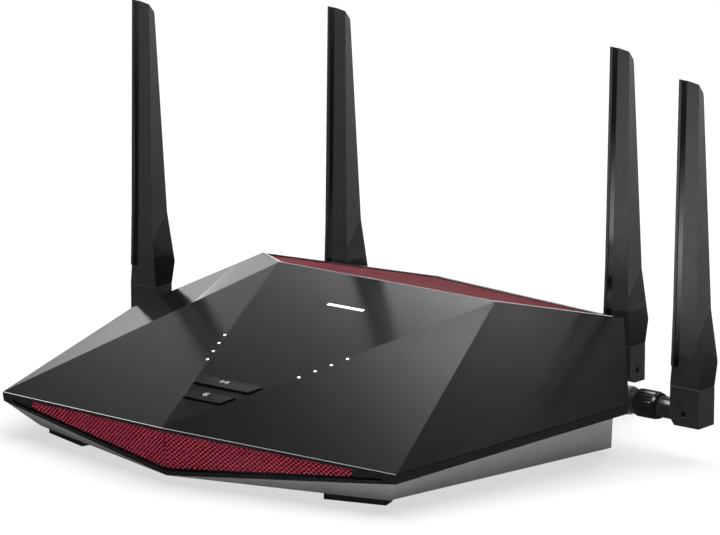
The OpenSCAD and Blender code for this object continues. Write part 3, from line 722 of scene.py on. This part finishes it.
def signs():
    """Radiating arcs on the rear button, a dot in a ring on the front one."""
    waves = [(0, 0.25, 0.3, 0, 360)]
    for radius in (0.95, 1.65):
        waves.append((0.35, radius, STROKE, -WAVE_HALF, WAVE_HALF))
        waves.append((-0.35, radius, STROKE, 180 - WAVE_HALF, 180 + WAVE_HALF))
    sign("wireless_sign", "wifi_button", -7 * MM, waves)
    ring = [(0, 1.35, STROKE, 30, 330), (0, 0.3, 0.36, 0, 360)]
    sign("pairing_sign", "pairing_button", -5 * MM, ring)


# ---------------------------------------------------------------- stage, light and camera

WALL_Y = 1.0                                # plane behind the set that holds the reflectors
FLOOR_REACH = 8.0                           # half the floor's side
FLOOR_SHADE = 0.18                          # the floor to the eye: its diffuse colour
FLOOR_GLOW = 0.65                           # and the light it adds
FLOOR_BOUNCE = 0.86                         # the floor to diffuse rays
FLOOR_FILL = 0.45
DIM_MIDDLE = (-0.15, -0.2, 0)               # where the mirrored floor is darkest
DIM_RANGE = (0.55, 1.7)                     # distances over which it grows from dark to bright
DIM_GLOW = (0.04, 1.7)
CAMERA_PLACE = (1.46262, -1.80789, 0.61859)
CAMERA_DOWN = 13.1                          # degrees below the horizon
CAMERA_TURN = 38.67                         # degrees from +Y towards -X
CAMERA_LENS = 258.94


def rectangle(name, corners):
    """An object of one face, not yet on the stage."""
    mesh = bpy.data.meshes.new(name)
    mesh.from_pydata(corners, [], [(0, 1, 2, 3)])
    made = bpy.data.objects.new(name, mesh)
    SCENE.collection.objects.link(made)
    return made


def reflector_glow(name, wide, high, strength):
    """Light from the front of a sheet only, fading to its oval rim."""
    material = bpy.data.materials.new(name)
    material.use_nodes = True
    material.node_tree.nodes.clear()
    g = Graph(material.node_tree)
    spot = g.add("ShaderNodeTexCoord")
    scale = g.add("ShaderNodeMapping")
    scale.inputs["Scale"].default_value = (1 / wide, 1, 1 / high)
    fade = g.add("ShaderNodeTexGradient", gradient_type="QUADRATIC_SPHERE")
    side = g.add("ShaderNodeNewGeometry")
    front = g.maths("SUBTRACT", 1, side.outputs["Backfacing"])
    shown = g.maths("MULTIPLY", fade.outputs["Fac"], front)
    glow = g.add("ShaderNodeEmission")
    clear = g.add("ShaderNodeBsdfTransparent")
    both = g.add("ShaderNodeAddShader")
    out = g.add("ShaderNodeOutputMaterial")
    g.link(spot.outputs["Object"], scale.inputs["Vector"])
    g.link(scale.outputs["Vector"], fade.inputs["Vector"])
    g.link(g.maths("MULTIPLY", shown, strength), glow.inputs["Strength"])
    g.link(glow.outputs["Emission"], both.inputs[0])
    g.link(clear.outputs["BSDF"], both.inputs[1])
    g.link(both.outputs["Shader"], out.inputs["Surface"])
    return material


def reflector(name, place, half, strength, facing_up=False):
    """A one-sided oval reflector, seen only in reflections."""
    wide, high = half
    corners = [(-wide, 0, -high), (wide, 0, -high), (wide, 0, high), (-wide, 0, high)]
    panel = rectangle(name, corners)
    panel.location = place
    if facing_up:
        panel.rotation_euler.x = math.radians(-90)
    panel.data.materials.append(reflector_glow(name, wide, high, strength))
    panel.visible_camera = False
    panel.visible_diffuse = False
    panel.visible_shadow = False


def soft_light(name, place, size, power, only_gloss=False):
    """An area light aimed at the middle of the table, seen by gloss or by matt surfaces."""
    data = bpy.data.lights.new(name, "AREA")
    data.shape = "RECTANGLE"
    data.size, data.size_y = size
    data.energy = power
    light = bpy.data.objects.new(name, data)
    SCENE.collection.objects.link(light)
    light.location = place
    light.rotation_mode = "QUATERNION"
    light.rotation_quaternion = Vector(place).to_track_quat("Z", "Y")
    light.visible_glossy = only_gloss
    light.visible_diffuse = not only_gloss


def floor_paint():
    """White to the eye with a soft shadow, and dim near the set where gloss mirrors it."""
    s = Shader("floor_white", (FLOOR_SHADE, FLOOR_SHADE, FLOOR_SHADE), 0.9)
    s.set("Specular IOR Level", 0.0)
    s.set("Emission Color", (1, 1, 1, 1))
    s.set("Emission Strength", FLOOR_GLOW)
    bounce = s.add("ShaderNodeBsdfDiffuse")
    bounce.inputs["Color"].default_value = (FLOOR_BOUNCE, FLOOR_BOUNCE, FLOOR_BOUNCE, 1)
    fill = s.add("ShaderNodeEmission")
    fill.inputs["Strength"].default_value = FLOOR_FILL
    matt = s.add("ShaderNodeAddShader")
    s.link(bounce.outputs["BSDF"], matt.inputs[0])
    s.link(fill.outputs["Emission"], matt.inputs[1])
    distance = s.add("ShaderNodeVectorMath", operation="DISTANCE")
    distance.inputs[1].default_value = DIM_MIDDLE
    s.link(s.place, distance.inputs[0])
    mirrored = s.add("ShaderNodeEmission")
    s.link(s.spread(distance.outputs["Value"], *DIM_GLOW, *DIM_RANGE), mirrored.inputs["Strength"])
    path = s.add("ShaderNodeLightPath")
    by_gloss = s.add("ShaderNodeMixShader")
    by_eye = s.add("ShaderNodeMixShader")
    s.link(path.outputs["Is Glossy Ray"], by_gloss.inputs[0])
    s.link(matt.outputs["Shader"], by_gloss.inputs[1])
    s.link(mirrored.outputs["Emission"], by_gloss.inputs[2])
    s.link(path.outputs["Is Camera Ray"], by_eye.inputs[0])
    s.link(by_gloss.outputs["Shader"], by_eye.inputs[1])
    s.link(s.surface.outputs["BSDF"], by_eye.inputs[2])
    s.link(by_eye.outputs["Shader"], s.tree.nodes["Material Output"].inputs["Surface"])
    return s.material


def floor():
    """A plain pale floor."""
    r = FLOOR_REACH
    ground = rectangle("floor", [(-r, -r, 0), (r, -r, 0), (r, r, 0), (-r, r, 0)])
    ground.data.materials.append(floor_paint())


def world():
    """White to the eye; in reflections bright at the left horizon, dark overhead and right."""
    made = bpy.data.worlds.new("studio")
    made.use_nodes = True
    SCENE.world = made
    g = Graph(made.node_tree)
    sky = g.tree.nodes["Background"]
    place = g.add("ShaderNodeTexCoord")
    split = g.add("ShaderNodeSeparateXYZ")
    g.link(place.outputs["Generated"], split.inputs["Vector"])
    up = g.spread(split.outputs["Z"], 0.78, 0.0, 0.0, 0.34)
    left = g.spread(split.outputs["X"], 1.0, 0.12, -0.3, 0.2)
    seen = g.add("ShaderNodeLightPath")
    mix = g.add("ShaderNodeMix")
    mix.inputs[3].default_value = 1.0
    g.link(seen.outputs["Is Camera Ray"], mix.inputs[0])
    g.link(g.maths("MULTIPLY", up, left), mix.inputs[2])
    g.link(mix.outputs[0], sky.inputs["Strength"])


def studio():
    """Floor, backdrop, one large light above, and what the gloss mirrors."""
    floor()
    world()
    soft_light("overhead", (0, 0.7, 2.3), (4.0, 3.0), 230)
    soft_light("edge_light", (-0.6, -0.5, 1.45), (0.9, 0.9), 30, only_gloss=True)
    soft_light("left_edge_light", (-1.3, -0.1, 0.9), (0.5, 0.5), 12, only_gloss=True)
    reflector("reflector_panel", (-0.645, WALL_Y, 0.888), (0.7, 0.222), 8.4)
    reflector("reflector_right", (-0.768, WALL_Y, 1.437), (0.537, 0.181), 5.8)
    reflector("reflector_side", (-0.287, WALL_Y, 1.238), (0.12, 0.233), 2.7)
    reflector("reflector_left", (-1.299, WALL_Y, 0.648), (0.6, 0.6), 1.36)
    reflector("reflector_low", (0.0, -0.1, 0.05), (0.22, 0.3), 6.0, facing_up=True)
    SCENE.view_settings.view_transform = "Standard"


def camera():
    data = bpy.data.cameras.new("camera")
    data.sensor_width = 36
    data.lens = CAMERA_LENS
    seen = bpy.data.objects.new("camera", data)
    SCENE.collection.objects.link(seen)
    seen.location = CAMERA_PLACE
    seen.rotation_euler = (math.radians(90 - CAMERA_DOWN), 0, math.radians(CAMERA_TURN))
    bpy.context.scene.camera = seen


camera()
studio()
dress_nodes()
dress_edges()
front_mesh()
rear_mesh()
for k in ANTENNAS:
    blade(k)
signs()
